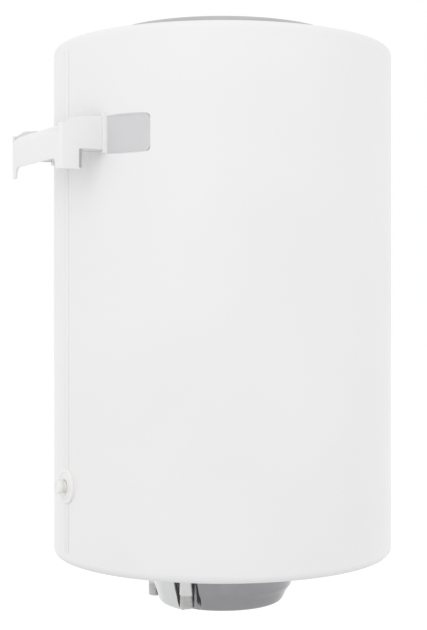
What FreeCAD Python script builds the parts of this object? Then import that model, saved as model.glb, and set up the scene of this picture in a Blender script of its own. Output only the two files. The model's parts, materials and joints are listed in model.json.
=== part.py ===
import FreeCAD, Part
import math
import os
import re

import Sketcher

# A wall-hung vertical storage water heater, about 80 litres, standing on its own bracket.
# +Z is up and +Y points at the wall. The origin is the middle of the bracket's wall face,
# so everything else is at negative y. All sizes are in millimetres.

SIZES = [
    # name, value, meaning
    ("casing_radius", 245, "outside radius of the jacket"),
    ("casing_height", 727, "height of the jacket with both lids"),
    ("wall_gap", 47, "from the back of the jacket to the wall"),
    ("bracket_depth", 151.5, "from the casing's top down to the middle of the wall plate"),
    ("sheet_thickness", 1, "painted sheet of the jacket and lids"),
    ("top_shoulder", 9, "rounding of the top lid's edge"),
    ("bottom_shoulder", 11, "rounding of the bottom lid's edge"),
    ("lid_skirt", 14, "height of each lid's rim"),
    ("cap_radius", 169, "radius of the top cap"),
    ("cap_height", 21, "height of the top cap"),
    ("cap_wall", 2.5, "wall of the top cap"),
    ("cap_edge", 6, "rounding of the top cap's edge"),
    ("cap_post_radius", 3.5, "radius of the top cap's snap posts"),
    ("cap_post_circle", 120, "radius of the circle of snap posts"),
    ("plug_radius", 15, "radius of the foam filling hole"),
    ("plug_lip", 5, "width of the filling plug's lip"),
    ("side_foam", 40, "from the tank out to the jacket's outside"),
    ("top_foam", 37, "from the tank's top up to the casing's top"),
    ("tank_wall", 2, "wall of the steel tank"),
    ("tank_base", 75, "from the casing's underside up to the tank's lower weld"),
    ("dome_height", 50, "rise of each tank end"),
    ("flange_radius", 75, "outside radius of the flange"),
    ("flange_bore", 52, "radius of the opening in the tank's lower end"),
    ("flange_level", 1, "from the casing's underside up to the flange plate's lower face"),
    ("flange_plate_thickness", 6, "thickness of the flange plate"),
    ("gasket_thickness", 3, "thickness of the flange gasket"),
    ("stud_circle", 65, "radius of the circle of flange studs"),
    ("stud_radius", 4, "radius of an M8 stud"),
    ("stud_clearance", 0.5, "radial clearance of a stud in its hole"),
    ("stud_end", 10, "length of stud below the flange plate"),
    ("stud_seat", 8, "depth of a stud in the flange ring"),
    ("nut_corner_radius", 7.5, "half of an M8 nut's width across its corners"),
    ("nut_height", 6.5, "height of an M8 nut"),
    ("lid_opening", 80, "radius of the opening in the bottom lid"),
    ("element_radius", 4.25, "radius of the heating element's tube"),
    ("element_spacing", 44, "distance between the element's two legs"),
    ("element_back", 10, "element's distance behind the tank's axis"),
    ("element_height", 260, "height of the element's straight legs above the flange plate"),
    ("element_bush_radius", 7, "radius of an element's brass bush"),
    ("well_radius", 5, "outside radius of the thermostat's pocket tube"),
    ("well_wall", 1, "wall of the pocket tube"),
    ("well_height", 240, "height of the pocket tube above the flange plate"),
    ("sensor_radius", 3.5, "radius of the thermostat's probe"),
    ("thermostat_front", 30, "thermostat's distance in front of the tank's axis"),
    ("thermostat_width", 50, "width of the thermostat's housing"),
    ("thermostat_depth", 34, "depth of the thermostat's housing"),
    ("thermostat_height", 34, "height of the thermostat's housing"),
    ("thermostat_drop", 12, "from the flange plate down to the thermostat's housing"),
    ("shaft_radius", 3, "radius of the control shaft"),
    ("running_clearance", 0.05, "radial clearance of a turning or sliding fit"),
    ("knob_radius", 18, "radius of the control knob"),
    ("knob_height", 13, "height of the control knob"),
    ("knob_gap", 1.5, "gap between the knob and the cover"),
    ("dial_radius", 25, "radius of the dished dial in the cover"),
    ("dial_depth", 6, "depth of the dished dial"),
    ("reset_radius", 3, "radius of the safety cut-out's button"),
    ("reset_travel", 2, "travel of the safety cut-out's button"),
    ("reset_side", 16, "button's distance beside the control shaft"),
    ("reset_stand", 4, "how far the button stands out of the thermostat"),
    ("knob_grip_width", 9, "width of the control knob's grip"),
    ("thermostat_corner", 3, "rounding of the thermostat's upright edges"),
    ("thermostat_bore", 20, "depth of the bores for the shaft and the button"),
    ("anode_radius", 11, "radius of the magnesium anode"),
    ("anode_length", 230, "length of the magnesium anode"),
    ("anode_side", 41, "anode's distance beside the tank's axis"),
    ("pipe_spacing", 100, "distance between the two water pipes"),
    ("pipe_back", 84.5, "pipes' distance behind the tank's axis"),
    ("pipe_radius", 10.65, "outside radius of a half-inch pipe"),
    ("thread_radius", 10.48, "outside radius of a half-inch pipe thread"),
    ("thread_length", 18, "length of thread at a pipe's lower end"),
    ("pipe_bore", 7.6, "radius of the pipes' bore"),
    ("pipe_drop", 65.5, "length of pipe below the casing"),
    ("pipe_inside", 60, "height of the pipes' upper ends above the casing's underside"),
    ("riser_wall", 1, "wall of the hot water riser"),
    ("riser_gap", 30, "from the riser's open end up to the tank's top"),
    ("grommet_lip", 4, "width of a pipe grommet's lip"),
    ("grommet_wall", 2.5, "wall of a pipe grommet"),
    ("cover_depth", 71, "depth of the bottom cover below the casing"),
    ("cover_wall", 2.5, "wall of the bottom cover"),
    ("cover_rim_radius", 112, "radius of the cover where it meets the casing"),
    ("cover_step_radius", 100.5, "radius of the cover above its step"),
    ("cover_step_depth", 46, "depth of the top of the step"),
    ("cover_neck_radius", 94.5, "radius of the cover below its step"),
    ("cover_neck_depth", 53, "depth of the bottom of the step"),
    ("cover_base_radius", 86, "radius of the cover's base before its edge is rounded"),
    ("cover_base_edge", 12, "rounding of the cover's lower edge"),
    ("notch_width", 40, "width of the cover's notch round each pipe"),
    ("pillar_side", 45, "cover pillars' distance beside the tank's axis"),
    ("pillar_front", 22, "cover pillars' distance in front of the tank's axis"),
    ("pillar_radius", 4, "radius of a cover pillar"),
    ("cover_screw_radius", 2, "radius of a cover screw's shank"),
    ("screw_head_radius", 4, "radius of a cover screw's head"),
    ("screw_head_height", 2.4, "height of a cover screw's head"),
    ("lamp_side", 34, "indicator's distance beside the tank's axis"),
    ("lamp_back", 14, "indicator's distance behind the tank's axis"),
    ("lamp_radius", 5, "radius of the indicator's lens"),
    ("gland_back", 42, "cable gland's distance behind the tank's axis"),
    ("gland_radius", 8, "radius of the cable gland's thread"),
    ("gland_corner_radius", 12, "half of the gland's width across its corners"),
    ("gland_bore", 4.5, "radius of the cable gland's bore"),
    ("gland_collar", 2.5, "height of the cable gland's hexagon"),
    ("gland_cap_height", 4, "height of the cable gland's cap"),
    ("block_width", 40, "width of the terminal block"),
    ("block_depth", 20, "depth of the terminal block"),
    ("block_height", 17, "height of the terminal block"),
    ("block_back", 34, "terminal block's distance behind the tank's axis"),
    ("earth_side", 42, "earth stud's distance beside the tank's axis"),
    ("small_screw_radius", 2.5, "radius of the terminal screws and the earth stud"),
    ("lead_radius", 1.2, "radius of an insulated lead"),
    ("bracket_width", 180, "outside width of the wall bracket"),
    ("bracket_sheet", 3, "thickness of the wall bracket"),
    ("plate_height", 45, "height of the bracket's wall plate"),
    ("plate_fold", 16, "depth of the fold along the wall plate's top"),
    ("plate_fold_radius", 13, "outside radius of the wall plate's top fold"),
    ("fold_relief", 0.5, "gap between the top fold's ends and the bracket's upright folds"),
    ("bracket_corner", 5, "outside radius of the bracket's upright folds"),
    ("leg_drop", 15, "length of the wall plate's end legs below it"),
    ("heel_reach", 28, "depth of the left arm's heel from the wall"),
    ("leg_width", 15, "width of the end legs across the wall plate"),
    ("leg_round", 12, "rounding between the wall plate and the end legs"),
    ("arm_rise", 34.5, "top of the arms above the middle of the wall plate"),
    ("arm_knee_rise", 30.5, "knee in the arms' top edge, above the middle of the wall plate"),
    ("arm_knee_depth", 18, "that knee's distance from the wall"),
    ("arm_drop", 11, "bottom of the arms below the middle of the wall plate"),
    ("doubler_thickness", 3, "thickness of the plates that carry the arms on the tank"),
    ("doubler_width", 46, "width of those plates"),
    ("doubler_margin", 22, "height of those plates above and below the arms"),
    ("arm_slot_gap", 1, "gap round an arm where it leaves the jacket"),
    ("recess_width", 69, "width of a side recess at its floor"),
    ("recess_height", 45, "height of a side recess at its floor"),
    ("recess_depth", 7, "depth of a recess's flat floor at its middle"),
    ("recess_rise", 9, "middle of the recesses above the middle of the wall plate"),
    ("recess_corner", 8, "rounding of a recess's corners"),
    ("slot_plate_thickness", 3, "thickness of the plate on a recess's floor"),
    ("slot_plate_gap", 0.5, "gap round that plate"),
    ("recess_draft", 30, "slope of a recess's sides, in degrees"),
    ("standoff_level", 110, "height of the stand-off above the casing's underside"),
    ("standoff_flange", 24, "radius of the stand-off socket's flange"),
    ("standoff_flange_height", 3, "height of that flange beyond the jacket"),
    ("standoff_sleeve", 13, "radius of the socket's sleeve"),
    ("standoff_sleeve_end", 3, "gap between the sleeve's end and the tank"),
    ("standoff_screw_radius", 8, "radius of the stand-off screw"),
    ("standoff_pad_radius", 10, "radius of the stand-off screw's pad"),
    ("standoff_pad_height", 6, "height of that pad"),
    ("standoff_reach", 15, "how far the pad stands out of the jacket when screwed in"),
]
NAMES = {name for name, value, meaning in SIZES}

# Places that many pieces share, written as formulas over the sheet's names.
AXIS_Y = "(0 - wall_gap - casing_radius)"
BASE_Z = "(bracket_depth - casing_height)"
FLANGE_Z = f"({BASE_Z} + flange_level)"
GASKET_Z = f"({FLANGE_Z} + flange_plate_thickness)"
RING_Z = f"({GASKET_Z} + gasket_thickness)"
THERMOSTAT_Y = f"({AXIS_Y} - thermostat_front)"
THERMOSTAT_Z = f"({FLANGE_Z} - thermostat_drop - thermostat_height)"
PIPE_Y = f"({AXIS_Y} + pipe_back)"
COVER_Z = f"({BASE_Z} - cover_depth)"
DIAL_Z = f"({COVER_Z} + dial_depth)"
TANK_Z = f"({BASE_Z} + tank_base)"
TANK_RADIUS = "(casing_radius - side_foam)"
TANK_LENGTH = "(casing_height - tank_base - dome_height - top_foam)"
DOME_RADIUS = f"(({TANK_RADIUS}^2 + dome_height^2) / (2 * dome_height))"
STANDOFF_Z = f"({BASE_Z} + standoff_level)"
CASING_BACK = f"({AXIS_Y} + casing_radius)"
ARM_X = "((bracket_width - bracket_sheet) / 2)"
RECESS_FLOOR = "(casing_radius - recess_depth)"
# Each recess starts at its bracket arm, so its direction follows from the arm's place.
RECESS_EDGE = f"sqrt({RECESS_FLOOR}^2 + (recess_width / 2)^2)"
RECESS_ANGLE = f"(asin({ARM_X} / {RECESS_EDGE}) + atan(recess_width / 2 / {RECESS_FLOOR}))"

STUD_COUNT = 6
CAP_POST_COUNT = 3

doc = FreeCAD.newDocument("WaterHeater")
sheet = doc.addObject("Spreadsheet::Sheet", "dims")
for row, (name, value, meaning) in enumerate(SIZES, start=1):
    sheet.set(f"A{row}", meaning)
    sheet.set(f"B{row}", str(value))
    sheet.setAlias(f"B{row}", name)
doc.recompute()

nodes = []


# ---------------------------------------------------------------- helpers

def formula(text):
    """Point each of the sheet's names in a formula at the sheet."""
    return re.sub(r"[a-z_]+", lambda word: "dims." + word[0] if word[0] in NAMES else word[0], str(text))


def bind(item, prop, text):
    """Tie one property of an object to a formula."""
    item.setExpression(prop, formula(text))


def place(item, x=0, y=0, z=0):
    bind(item, "Placement.Base.x", x)
    bind(item, "Placement.Base.y", y)
    bind(item, "Placement.Base.z", z)


def turn(item, axis, angle):
    item.Placement = FreeCAD.Placement(FreeCAD.Vector(), FreeCAD.Rotation(FreeCAD.Vector(*axis), angle))


def node(item, label):
    """Keep an object as one of the model's finished pieces."""
    item.Label = label
    nodes.append(item)
    return item


def cylinder(name, radius, length, x=0, y=AXIS_Y, z=BASE_Z, to_wall=False):
    """A cylinder that stands up from its place, or points at the wall."""
    item = doc.addObject("Part::Cylinder", name)
    bind(item, "Radius", radius)
    bind(item, "Height", length)
    if to_wall:
        turn(item, (1, 0, 0), -90)
    place(item, x, y, z)
    return item


def box(name, width, depth, height, x=0, y=AXIS_Y, z=BASE_Z):
    """A box that stands on its place, centred on it across and starting there in depth."""
    item = doc.addObject("Part::Box", name)
    bind(item, "Length", width)
    bind(item, "Width", depth)
    bind(item, "Height", height)
    place(item, f"({x}) - ({width}) / 2", y, z)
    return item


def hexagon(name, corner_radius, height, x, y, z):
    item = doc.addObject("Part::Prism", name)
    item.Polygon = 6
    bind(item, "Circumradius", corner_radius)
    bind(item, "Height", height)
    place(item, x, y, z)
    return item


def sphere(name, radius, z):
    item = doc.addObject("Part::Sphere", name)
    bind(item, "Radius", radius)
    place(item, 0, AXIS_Y, z)
    return item


def join(name, *items):
    item = doc.addObject("Part::MultiFuse", name)
    item.Shapes = list(items)
    return item


def overlap(name, first, second):
    item = doc.addObject("Part::Common", name)
    item.Base = first
    item.Tool = second
    return item


def cut(name, base, *tools):
    item = doc.addObject("Part::Cut", name)
    item.Base = base
    item.Tool = tools[0] if len(tools) == 1 else join(name + "_tools", *tools)
    return item


def group(name, items):
    """Separate solids that share one node."""
    item = doc.addObject("Part::Compound", name)
    item.Links = list(items)
    return item


def new_body(name, x=0, y=0, z=0):
    body = doc.addObject("PartDesign::Body", name)
    place(body, x, y, z)
    return body


def sketch_on(body, role, name):
    """An empty sketch on one of the body's own origin planes."""
    plane = next(item for item in body.Origin.OriginFeatures if item.Role == role)
    sketch = body.newObject("Sketcher::SketchObject", name)
    sketch.AttachmentSupport = [(plane, "")]
    sketch.MapMode = "FlatFace"
    return sketch


def outline(sketch, corners):
    """A closed outline whose corners each take both coordinates from formulas."""
    count = len(corners)
    spread = [FreeCAD.Vector(*FreeCAD.Rotation(FreeCAD.Vector(0, 0, 1), 360 * i / count)
                             .multVec(FreeCAD.Vector(50, 0, 0))) for i in range(count)]
    first = sketch.GeometryCount
    for i in range(count):
        sketch.addGeometry(Part.LineSegment(spread[i], spread[(i + 1) % count]), False)
    for i in range(count):
        sketch.addConstraint(Sketcher.Constraint("Coincident", first + i, 2, first + (i + 1) % count, 1))
    for i, (across, up) in enumerate(corners):
        for kind, text in (("DistanceX", across), ("DistanceY", up)):
            start = spread[i].x if kind == "DistanceX" else spread[i].y
            index = sketch.addConstraint(Sketcher.Constraint(kind, -1, 1, first + i, 1, start))
            bind(sketch, f"Constraints[{index}]", text)


def circle(sketch, radius, x=0, y=0):
    index = sketch.addGeometry(Part.Circle(FreeCAD.Vector(10, 10, 0), FreeCAD.Vector(0, 0, 1), 5), False)
    sizes = (
        (Sketcher.Constraint("Radius", index, 5), radius),
        (Sketcher.Constraint("DistanceX", -1, 1, index, 3, 10), x),
        (Sketcher.Constraint("DistanceY", -1, 1, index, 3, 10), y),
    )
    for constraint, text in sizes:
        bind(sketch, f"Constraints[{sketch.addConstraint(constraint)}]", text)


def pad(body, sketch, name, length, midplane=False, draft=None):
    feature = body.newObject("PartDesign::Pad", name)
    feature.Profile = sketch
    bind(feature, "Length", length)
    feature.Midplane = midplane
    if draft:
        bind(feature, "TaperAngle", draft)
    return feature


def pocket(body, sketch, name, through=True, length=None, midplane=False, reversed_way=False):
    feature = body.newObject("PartDesign::Pocket", name)
    feature.Profile = sketch
    feature.Midplane = midplane
    feature.Reversed = reversed_way
    if through:
        feature.Type = "ThroughAll"
    else:
        bind(feature, "Length", length)
    return feature


def revolve(body, sketch, name="revolution"):
    feature = body.newObject("PartDesign::Revolution", name)
    feature.Profile = sketch
    feature.ReferenceAxis = (sketch, ["V_Axis"])
    feature.Angle = 360
    return feature


def turned(name, corners, x=0, y=AXIS_Y, z=BASE_Z):
    """A body of revolution about its own upright axis, from (radius, height) corners."""
    body = new_body(name, x, y, z)
    sketch = sketch_on(body, "XZ_Plane", name + "_profile")
    outline(sketch, corners)
    revolve(body, sketch, name + "_turned")
    return body


def ring_edges(shape, radius, height):
    """Names of the circular edges of one radius at one height in the body."""
    found = []
    for number, edge in enumerate(shape.Edges, start=1):
        curve = edge.Curve
        if isinstance(curve, Part.Circle) and abs(curve.Radius - radius) < 0.01:
            if abs(curve.Center.z - height) < 0.01:
                found.append(f"Edge{number}")
    return found


def round_edges(body, name, radius, pick):
    """Round the edges of the body's last feature that the pick function names."""
    doc.recompute()
    base = body.Tip
    names = pick(base.Shape)
    if not names:
        raise RuntimeError(f"{name} finds no edge to round")
    feature = body.newObject("PartDesign::Fillet", name)
    feature.Base = (base, names)
    bind(feature, "Radius", radius)
    return feature


def value(text):
    """The present value of a formula, for what picks an edge or draws a free curve."""
    probe = doc.addObject("Part::Sphere", "probe")
    bind(probe, "Placement.Base.x", text)
    doc.recompute([probe])
    result = probe.Placement.Base.x
    doc.removeObject(probe.Name)
    return result


def solid_turned(name, corners, roundings, y=AXIS_Y, z=BASE_Z):
    """A turned body whose named (radius, height, rounding) edges are rounded."""
    body = turned(name, corners, 0, y, z)
    for number, (radius, height, rounding) in enumerate(roundings):
        wanted = (value(radius), value(height))
        round_edges(body, f"{name}_round{number}", rounding, lambda shape: ring_edges(shape, *wanted))
    return body


def straight_edges(shape, along, places):
    """Names of the straight edges along one of the body's axes, at places on the other two."""
    across = [axis for axis in "xyz" if axis != along]
    found = []
    for number, edge in enumerate(shape.Edges, start=1):
        if not isinstance(edge.Curve, Part.Line):
            continue
        way = edge.tangentAt(edge.FirstParameter)
        point = edge.Vertexes[0].Point
        here = [getattr(point, axis) for axis in across]
        if abs(getattr(way, along)) > 0.999 and any(math.dist(here, there) < 0.01 for there in places):
            found.append(f"Edge{number}")
    return found


def circle_place(radius, angle):
    """Formulas for a point at an angle on a circle round the tank's axis."""
    return f"({radius}) * cos({angle})", f"{AXIS_Y} + ({radius}) * sin({angle})"


# ---------------------------------------------------------------- pieces

def recess_block(name, side, growth="0", sink="0", height="recess_depth + 12", draft="recess_draft"):
    """A block that stands outwards from one side recess's floor; sink moves its foot inwards."""
    body = new_body(name)
    turn(body, (0, 0, -side), 1)
    bind(body, "Placement.Rotation.Angle", RECESS_ANGLE)
    foot = f"({RECESS_FLOOR} - ({sink}))"
    place(body, f"{side} * {foot} * sin({RECESS_ANGLE})", f"{AXIS_Y} + {foot} * cos({RECESS_ANGLE})",
          "recess_rise")
    half_width = f"(recess_width / 2 + ({growth}))"
    half_height = f"(recess_height / 2 + ({growth}))"
    sketch = sketch_on(body, "XZ_Plane", name + "_foot")
    outline(sketch, [
        (f"0 - {half_width}", f"0 - {half_height}"),
        (half_width, f"0 - {half_height}"),
        (half_width, half_height),
        (f"0 - {half_width}", half_height),
    ])
    pad(body, sketch, name + "_pad", height, draft=draft).Reversed = True
    round_edges(body, name + "_corners", f"recess_corner + ({growth})", outward_edges)
    return body


def outward_edges(shape):
    """Names of the four edges that run outwards between a block's sides."""
    found = []
    for number, edge in enumerate(shape.Edges, start=1):
        if abs(edge.tangentAt(edge.FirstParameter).y) > 0.3:
            found.append(f"Edge{number}")
    return found


def slot_plate(word, side, slot):
    """The plate that lies on a recess's floor and closes the jacket round the arm."""
    block = recess_block(f"slot_plate_block_{word}", side, growth="0 - slot_plate_gap",
                         height="slot_plate_thickness", draft=None)
    return cut(f"slot_plate_{word}", block, slot)


def make_casing():
    length = "casing_height - 2 * lid_skirt"
    start = f"{BASE_Z} + lid_skirt"
    outside = cylinder("jacket_outside", "casing_radius", length, z=start)
    inside = cylinder("jacket_inside", "casing_radius - sheet_thickness", length, z=start)
    tube = cut("jacket_tube", outside, inside)
    backings = []
    recesses = []
    slots = []
    plates = []
    for word, side in (("left", -1), ("right", 1)):
        backings.append(recess_block(f"recess_back_{word}", side, "sheet_thickness", "sheet_thickness"))
        recesses.append(recess_block(f"recess_{word}", side))
        slot = box(f"arm_slot_{word}", "bracket_sheet + 2 * arm_slot_gap", 60,
                   "arm_rise + arm_drop + 2 * arm_slot_gap",
                   f"{side} * {ARM_X}", f"{CASING_BACK} - 60", "0 - arm_drop - arm_slot_gap")
        slots.append(slot)
        plates.append(slot_plate(word, side, slot))
    pressed = [overlap(block.Name + "_trim", block, outside) for block in backings]
    node(group("slot_plates", plates), "arm_slot_plates")
    socket_hole = cylinder("standoff_hole", "standoff_sleeve + arm_slot_gap", 60,
                           0, f"{CASING_BACK} - 30", STANDOFF_Z, to_wall=True)
    jacket = cut("jacket", join("jacket_pressed", tube, *pressed), *recesses, *slots, socket_hole)
    node(jacket, "casing_shell")

    hole = "plug_radius"
    top = solid_turned("top_lid", [
        ("casing_radius - sheet_thickness", 0),
        ("casing_radius", 0),
        ("casing_radius", "lid_skirt"),
        (hole, "lid_skirt"),
        (hole, "lid_skirt - sheet_thickness"),
        ("casing_radius - sheet_thickness", "lid_skirt - sheet_thickness"),
    ], [
        ("casing_radius - sheet_thickness", "lid_skirt - sheet_thickness",
         "top_shoulder - sheet_thickness"),
        ("casing_radius", "lid_skirt", "top_shoulder"),
    ], z=f"{BASE_Z} + casing_height - lid_skirt")
    post_holes = sketch_on(top, "XY_Plane", "post_holes")
    for step in range(CAP_POST_COUNT):
        angle = 90 + 360 / CAP_POST_COUNT * step
        x = f"cap_post_circle * cos({angle})"
        y = f"cap_post_circle * sin({angle})"
        circle(post_holes, "cap_post_radius + 0.3", x, y)
    pocket(top, post_holes, "post_hole_cut", reversed_way=True)
    node(top, "top_lid")

    bottom = solid_turned("bottom_lid", [
        ("lid_opening", 0),
        ("casing_radius", 0),
        ("casing_radius", "lid_skirt"),
        ("casing_radius - sheet_thickness", "lid_skirt"),
        ("casing_radius - sheet_thickness", "sheet_thickness"),
        ("lid_opening", "sheet_thickness"),
    ], [
        ("casing_radius - sheet_thickness", "sheet_thickness", "bottom_shoulder - sheet_thickness"),
        ("casing_radius", 0, "bottom_shoulder"),
    ])
    pipe_holes = sketch_on(bottom, "XY_Plane", "pipe_holes")
    for side in (-1, 1):
        circle(pipe_holes, "pipe_radius + grommet_wall", f"{side} * pipe_spacing / 2", "pipe_back")
    pocket(bottom, pipe_holes, "pipe_hole_cut", reversed_way=True)
    node(bottom, "bottom_lid")
    return backings


def make_top():
    lid_top = f"{BASE_Z} + casing_height"
    shell = solid_turned("cap_shell", [
        ("cap_radius - cap_wall", 0),
        ("cap_radius", 0),
        ("cap_radius", "cap_height"),
        (0, "cap_height"),
        (0, "cap_height - cap_wall"),
        ("cap_radius - cap_wall", "cap_height - cap_wall"),
    ], [
        ("cap_radius - cap_wall", "cap_height - cap_wall", "cap_edge - cap_wall"),
        ("cap_radius", "cap_height", "cap_edge"),
    ], z=lid_top)
    posts = []
    sockets = []
    for step in range(CAP_POST_COUNT):
        x, y = circle_place("cap_post_circle", 90 + 360 / CAP_POST_COUNT * step)
        posts.append(cylinder(f"cap_post_{step}", "cap_post_radius", "cap_height - cap_wall + 8",
                              x, y, f"{lid_top} - 8"))
        sockets.append(cylinder(f"cap_post_room_{step}", "cap_post_radius + 0.3", 10,
                                x, y, f"{lid_top} - 10"))
    node(join("cap", shell, *posts), "top_cap")

    plug = solid_turned("filling_plug", [
        (0, 0),
        ("plug_radius", 0),
        ("plug_radius", 8),
        ("plug_radius + plug_lip", 8),
        ("plug_radius + plug_lip", 10),
        (0, 10),
    ], [("plug_radius + plug_lip", 10, 1)], z=f"{lid_top} - 8")
    node(plug, "filling_plug")
    sockets.append(cylinder("filling_plug_room", "plug_radius", 8, z=f"{lid_top} - 8"))
    return sockets


def make_tank():
    """The welded pressure vessel; returns its filled outer form."""
    barrel = cylinder("tank_outside", TANK_RADIUS, TANK_LENGTH, z=TANK_Z)
    bore = cylinder("tank_inside", f"{TANK_RADIUS} - tank_wall", TANK_LENGTH, z=TANK_Z)
    node(cut("shell", barrel, bore), "tank_shell")

    top_centre = f"{TANK_Z} + {TANK_LENGTH} + dome_height - {DOME_RADIUS}"
    top_limit = cylinder("top_dome_limit", TANK_RADIUS, "dome_height + 1", z=f"{TANK_Z} + {TANK_LENGTH}")
    top_cap = overlap("top_dome_solid", sphere("top_dome_outside", DOME_RADIUS, top_centre), top_limit)
    top_inside = sphere("top_dome_inside", f"{DOME_RADIUS} - tank_wall", top_centre)
    node(cut("top_dome", top_cap, top_inside), "tank_top_dome")

    low_centre = f"{TANK_Z} - dome_height + {DOME_RADIUS}"
    low_limit = cylinder("low_dome_limit", TANK_RADIUS, "dome_height + 1", z=f"{TANK_Z} - dome_height - 1")
    low_cap = overlap("low_dome_solid", sphere("low_dome_outside", DOME_RADIUS, low_centre), low_limit)
    openings = [cylinder("low_dome_opening", "flange_bore", "dome_height", z=f"{TANK_Z} - dome_height - 1")]
    for word, side in (("cold", 1), ("hot", -1)):
        openings.append(cylinder(f"{word}_pipe_opening", "pipe_radius", "dome_height",
                                 f"{side} * pipe_spacing / 2", PIPE_Y, f"{TANK_Z} - dome_height - 1"))
    low_inside = sphere("low_dome_inside", f"{DOME_RADIUS} - tank_wall", low_centre)
    node(cut("low_dome", low_cap, low_inside, *openings), "tank_bottom_dome")
    return join("tank_form", barrel, top_cap, low_cap)


def stud_places():
    for step in range(STUD_COUNT):
        yield step, *circle_place("stud_circle", 30 + 360 / STUD_COUNT * step)


def make_flange(tank_form):
    rise = f"{TANK_Z} - dome_height + {DOME_RADIUS} - sqrt({DOME_RADIUS}^2 - flange_radius^2)"
    blank = cylinder("ring_blank", "flange_radius", f"{rise} - {RING_Z}", z=RING_Z)
    bore = cylinder("ring_bore", "flange_bore", "dome_height", z=RING_Z)
    ring_holes = [cylinder(f"ring_hole_{step}", "stud_radius", "stud_seat", x, y, RING_Z)
                  for step, x, y in stud_places()]
    node(cut("ring", blank, bore, tank_form, *ring_holes), "flange_ring")

    clear = "stud_radius + stud_clearance"
    sheet_holes = [cylinder(f"gasket_hole_{step}", clear, "gasket_thickness", x, y, GASKET_Z)
                   for step, x, y in stud_places()]
    disc = cylinder("gasket_disc", "flange_radius", "gasket_thickness", z=GASKET_Z)
    middle = cylinder("gasket_middle", "flange_bore", "gasket_thickness", z=GASKET_Z)
    node(cut("gasket", disc, middle, *sheet_holes), "flange_gasket")

    thick = "flange_plate_thickness"
    holes = [cylinder(f"plate_hole_{step}", clear, thick, x, y, FLANGE_Z) for step, x, y in stud_places()]
    for word, side in (("left", -1), ("right", 1)):
        holes.append(cylinder(f"plate_bush_{word}", "element_bush_radius", thick,
                              f"{side} * element_spacing / 2", f"{AXIS_Y} + element_back", FLANGE_Z))
    holes.append(cylinder("plate_well", "well_radius", thick, 0, THERMOSTAT_Y, FLANGE_Z))
    holes.append(cylinder("plate_anode", "stud_radius", thick, "0 - anode_side", AXIS_Y, FLANGE_Z))
    node(cut("plate", cylinder("plate_disc", "flange_radius", thick, z=FLANGE_Z), *holes), "flange_plate")

    studs = []
    nuts = []
    for step, x, y in stud_places():
        length = f"stud_end + {thick} + gasket_thickness + stud_seat"
        studs.append(cylinder(f"stud_{step}", "stud_radius", length, x, y, f"{FLANGE_Z} - stud_end"))
        nuts.append(nut(f"flange_nut_{step}", "nut_corner_radius", "nut_height", "stud_radius",
                        x, y, f"{FLANGE_Z} - nut_height"))
    node(group("studs", studs), "flange_studs")
    node(group("nuts", nuts), "flange_nuts")


def nut(name, corner_radius, height, bore, x, y, z):
    blank = hexagon(name + "_hexagon", corner_radius, height, x, y, z)
    return cut(name, blank, cylinder(name + "_bore", bore, height, x, y, z))


def make_heating():
    """What the flange plate carries inside the tank."""
    thick = "flange_plate_thickness"
    bend_z = f"{FLANGE_Z} + {thick} + element_height"
    legs = []
    bushes = []
    terminals = []
    for word, side in (("left", -1), ("right", 1)):
        x = f"{side} * element_spacing / 2"
        y = f"{AXIS_Y} + element_back"
        legs.append(cylinder(f"element_leg_{word}", "element_radius", f"10 + {thick} + element_height",
                             x, y, f"{FLANGE_Z} - 10"))
        sleeve = cylinder(f"bush_blank_{word}", "element_bush_radius", f"14 + {thick}",
                          x, y, f"{FLANGE_Z} - 8")
        bushes.append(cut(f"bush_{word}", sleeve, legs[-1]))
        pin = cylinder(f"terminal_pin_{word}", 1.5, 10, x, y, f"{FLANGE_Z} - 20")
        tab = box(f"terminal_tab_{word}", 6.3, 0.8, 8, x, f"{y} - 0.4", f"{FLANGE_Z} - 27")
        terminals.append(join(f"terminal_{word}", pin, tab))
    bend = doc.addObject("Part::Torus", "element_bend")
    bend.Angle3 = 180
    bind(bend, "Radius1", "element_spacing / 2")
    bind(bend, "Radius2", "element_radius")
    turn(bend, (1, 0, 0), 90)
    place(bend, 0, f"{AXIS_Y} + element_back", bend_z)
    node(join("element", *legs, bend), "heating_element")
    node(group("bushes", bushes), "element_bushes")
    node(group("terminals", terminals), "element_terminals")

    well = cylinder("well_outside", "well_radius", f"{thick} + well_height", 0, THERMOSTAT_Y, FLANGE_Z)
    well_bore = cylinder("well_inside", "well_radius - well_wall", f"{thick} + well_height - 2",
                         0, THERMOSTAT_Y, FLANGE_Z)
    node(cut("well", well, well_bore), "thermostat_pocket")

    rod = cylinder("anode_blank", "anode_radius", "anode_length",
                   "0 - anode_side", AXIS_Y, f"{FLANGE_Z} + {thick} + 6")
    core = cylinder("anode_core", "stud_radius", f"{thick} + 26",
                    "0 - anode_side", AXIS_Y, f"{FLANGE_Z} - 10")
    node(join("anode", rod, core), "anode_rod")
    node(nut("anode_nut_solid", "nut_corner_radius", "nut_height", "stud_radius",
             "0 - anode_side", AXIS_Y, f"{FLANGE_Z} - nut_height"), "anode_nut")


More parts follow.
